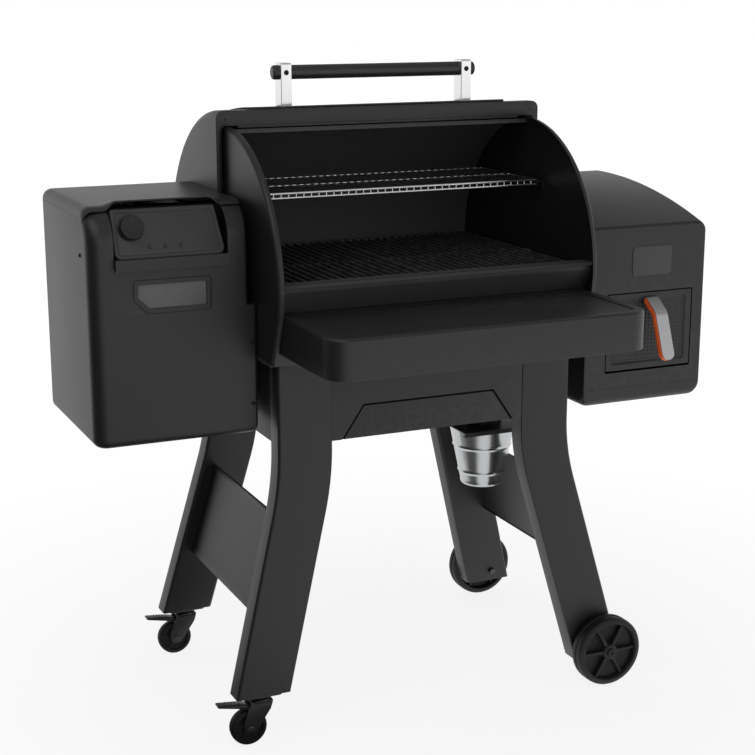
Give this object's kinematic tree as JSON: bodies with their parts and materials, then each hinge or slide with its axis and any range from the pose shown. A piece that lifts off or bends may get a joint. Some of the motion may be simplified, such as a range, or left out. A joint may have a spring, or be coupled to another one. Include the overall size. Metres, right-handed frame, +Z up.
{
  "type": "pellet smoker grill",
  "caption": "Wood pellet smoker grill on a splayed wheeled cart, with a drum chamber, hinged lid, pellet hopper, side cabinet, front shelf and ash cup.",
  "frame": {"origin": "middle of the overall box, on the floor", "axes": "+Z up, the front shelf towards -Y, the pellet hopper towards -X"},
  "size_m": [1.3356, 0.8419, 1.315],
  "materials": {
    "black_sheet": "satin black powder coat with a fine texture",
    "inner_steel": "heat-resistant matt black enamel",
    "galvanised": "dull zinc-plated steel",
    "bright_steel": "brushed stainless steel",
    "cast_grate": "seasoned cast iron",
    "black_metal": "semi-gloss black",
    "black_plastic": "fine-textured black moulding",
    "caster_rubber": "matt black",
    "orange_grip": "orange edge on a black back",
    "window_glass": "smoked clear"
  },
  "bodies": {
    "frame": {"auger_motor": "black_metal", "axle_bolts": "bright_steel", "body_screws": "black_metal", "burn_pot": "inner_steel", "cabinet_housing": "black_sheet", "cabinet_spacers": "inner_steel", "caster_plates": "black_metal", "chamber_body": "black_sheet", "control_pod": "black_plastic", "drain_collar": "black_sheet", "drain_pan": "inner_steel", "drip_tray": "inner_steel", "end_wall_left": "black_sheet", "end_wall_right": "black_sheet", "exhaust_hood": "black_sheet", "fan_housing": "black_plastic", "feed_tubes": "galvanised", "frame_rails": "black_sheet", "front_shelf": "black_sheet", "heat_baffle": "inner_steel", "hinge_pins": "bright_steel", "hopper_bin": "inner_steel", "hopper_housing": "black_sheet", "igniter_rod": "bright_steel", "leg_back_left": "black_sheet", "leg_back_right": "black_sheet", "leg_front_left": "black_sheet", "leg_front_right": "black_sheet", "lid_pivots": "bright_steel", "pellet_window": "window_glass", "power_inlet": "black_plastic", "shelf_brackets": "black_sheet", "side_braces": "black_sheet", "temperature_probe": "bright_steel"},
    "lid": {"lid_shell": "black_sheet", "handle_strip": "black_sheet", "handle_posts": "bright_steel", "handle_bar": "black_metal"},
    "hopper_lid": {"hopper_lid": "black_sheet"},
    "door": {"cabinet_door": "black_sheet", "lever_arm": "bright_steel", "lever_core": "orange_grip"},
    "cup": {"drip_cup": "galvanised"},
    "grate_left": {"grate_left": "cast_grate"},
    "grate_right": {"grate_right": "cast_grate"},
    "rack": {"warming_rack": "bright_steel"},
    "knob": {"control_knob": "black_plastic"},
    "button_1": {"button_1": "black_plastic"},
    "button_2": {"button_2": "black_plastic"},
    "button_3": {"button_3": "black_plastic"},
    "auger": {"auger_screw": "galvanised"},
    "fan": {"fan_impeller": "black_plastic"},
    "wheel_front": {"wheel_front": "black_plastic"},
    "wheel_back": {"wheel_back": "black_plastic"},
    "fork_front": {"caster_fork_front": "black_metal"},
    "caster_wheel_front": {"caster_wheel_front": "caster_rubber"},
    "pedal_front": {"caster_pedal_front": "black_plastic"},
    "fork_back": {"caster_fork_back": "black_metal"},
    "caster_wheel_back": {"caster_wheel_back": "caster_rubber"},
    "pedal_back": {"caster_pedal_back": "black_plastic"}
  },
  "joints": [
    {"name": "lid_hinge", "type": "hinge", "parent": "frame", "child": "lid", "pos_m": [0.00275, 0.094, 0.9], "axis": [1, 0, 0], "range_deg": [0, 90]},
    {"name": "hopper_lid_hinge", "type": "hinge", "parent": "frame", "child": "hopper_lid", "pos_m": [-0.51225, 0.277, 1.06415], "axis": [-1, 0, 0], "range_deg": [0, 85]},
    {"name": "door_hinge", "type": "hinge", "parent": "frame", "child": "door", "pos_m": [0.53225, -0.107, 0.676], "axis": [1, 0, 0], "range_deg": [0, 90]},
    {"name": "cup_slide", "type": "slide", "parent": "frame", "child": "cup", "axis": [-1, 0, 0], "range_m": [0, 0.18]},
    {"name": "grate_left_lift", "type": "slide", "parent": "frame", "child": "grate_left", "axis": [0, 0, 1], "range_m": [0, 0.1]},
    {"name": "grate_right_lift", "type": "slide", "parent": "frame", "child": "grate_right", "axis": [0, 0, 1], "range_m": [0, 0.1]},
    {"name": "rack_slide", "type": "slide", "parent": "frame", "child": "rack", "axis": [0, -1, 0], "range_m": [0, 0.12]},
    {"name": "knob_turn", "type": "hinge", "parent": "frame", "child": "knob", "pos_m": [-0.58025, -0.06853, 1.031], "axis": [0, -0.9594, 0.2822], "range_deg": [0, 270]},
    {"name": "button_1_press", "type": "slide", "parent": "frame", "child": "button_1", "axis": [0, 0.9594, -0.2822], "range_m": [0, 0.001], "stiffness_N_per_m": 400, "springref_m": -0.0005},
    {"name": "button_2_press", "type": "slide", "parent": "frame", "child": "button_2", "axis": [0, 0.9594, -0.2822], "range_m": [0, 0.001], "stiffness_N_per_m": 400, "springref_m": -0.0005},
    {"name": "button_3_press", "type": "slide", "parent": "frame", "child": "button_3", "axis": [0, 0.9594, -0.2822], "range_m": [0, 0.001], "stiffness_N_per_m": 400, "springref_m": -0.0005},
    {"name": "auger_turn", "type": "hinge", "parent": "frame", "child": "auger", "pos_m": [-0.29725, 0.094, 0.818], "axis": [1, 0, 0], "continuous": true},
    {"name": "fan_spin", "type": "hinge", "parent": "frame", "child": "fan", "pos_m": [-0.46725, 0.094, 0.715], "axis": [1, 0, 0], "continuous": true},
    {"name": "wheel_front_spin", "type": "hinge", "parent": "frame", "child": "wheel_front", "pos_m": [0.39975, -0.196, 0.076], "axis": [0, 1, 0], "continuous": true},
    {"name": "wheel_back_spin", "type": "hinge", "parent": "frame", "child": "wheel_back", "pos_m": [0.39975, 0.384, 0.076], "axis": [0, 1, 0], "continuous": true},
    {"name": "caster_swivel_front", "type": "hinge", "parent": "frame", "child": "fork_front", "pos_m": [-0.3745, -0.15153, 0.095], "axis": [0, 0, 1], "continuous": true},
    {"name": "caster_roll_front", "type": "hinge", "parent": "fork_front", "child": "caster_wheel_front", "pos_m": [-0.4015, -0.15153, 0.0375], "axis": [0, 1, 0], "continuous": true},
    {"name": "caster_brake_front", "type": "hinge", "parent": "fork_front", "child": "pedal_front", "pos_m": [-0.4035, -0.15153, 0.0805], "axis": [0, -1, 0], "range_deg": [0, 10]},
    {"name": "caster_swivel_back", "type": "hinge", "parent": "frame", "child": "fork_back", "pos_m": [-0.3745, 0.33953, 0.095], "axis": [0, 0, 1], "continuous": true},
    {"name": "caster_roll_back", "type": "hinge", "parent": "fork_back", "child": "caster_wheel_back", "pos_m": [-0.4015, 0.33953, 0.0375], "axis": [0, 1, 0], "continuous": true},
    {"name": "caster_brake_back", "type": "hinge", "parent": "fork_back", "child": "pedal_back", "pos_m": [-0.4035, 0.33953, 0.0805], "axis": [0, -1, 0], "range_deg": [0, 10]}
  ]
}
